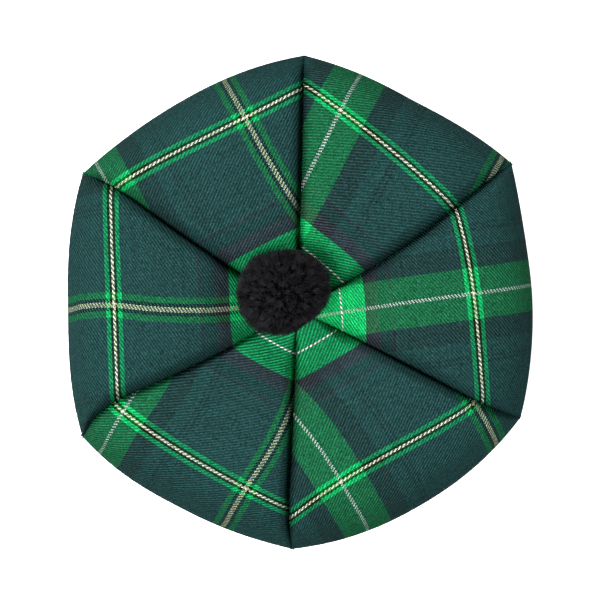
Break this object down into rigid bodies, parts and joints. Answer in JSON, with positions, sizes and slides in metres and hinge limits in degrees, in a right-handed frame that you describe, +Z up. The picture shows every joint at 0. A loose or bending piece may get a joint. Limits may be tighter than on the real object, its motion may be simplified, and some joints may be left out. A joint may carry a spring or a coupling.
{
  "type": "tam o shanter",
  "caption": "Round flat-topped bonnet of gored tartan wool with a dimpled crown, a plain headband and a black wool pompom.",
  "frame": {"origin": "middle of the head opening, on the surface that the bonnet lies on", "axes": "+Z up out of the crown, +Y to the back (the top of the picture), +X to the right of the picture"},
  "size_m": [0.2722, 0.2888, 0.087],
  "materials": {
    "tartan": "twill-woven wool tartan, dark green, bright green and black with cream and white lines",
    "band_cloth": "the same wool tartan, folded double and stitched",
    "yarn": "black wool yarn, trimmed pile"
  },
  "bodies": {
    "root": {"gore_back_right": "tartan", "gore_back_left": "tartan", "gore_left": "tartan", "gore_front_left": "tartan", "gore_front_right": "tartan", "gore_right": "tartan", "headband": "band_cloth", "toorie": "yarn"}
  },
  "joints": []
}
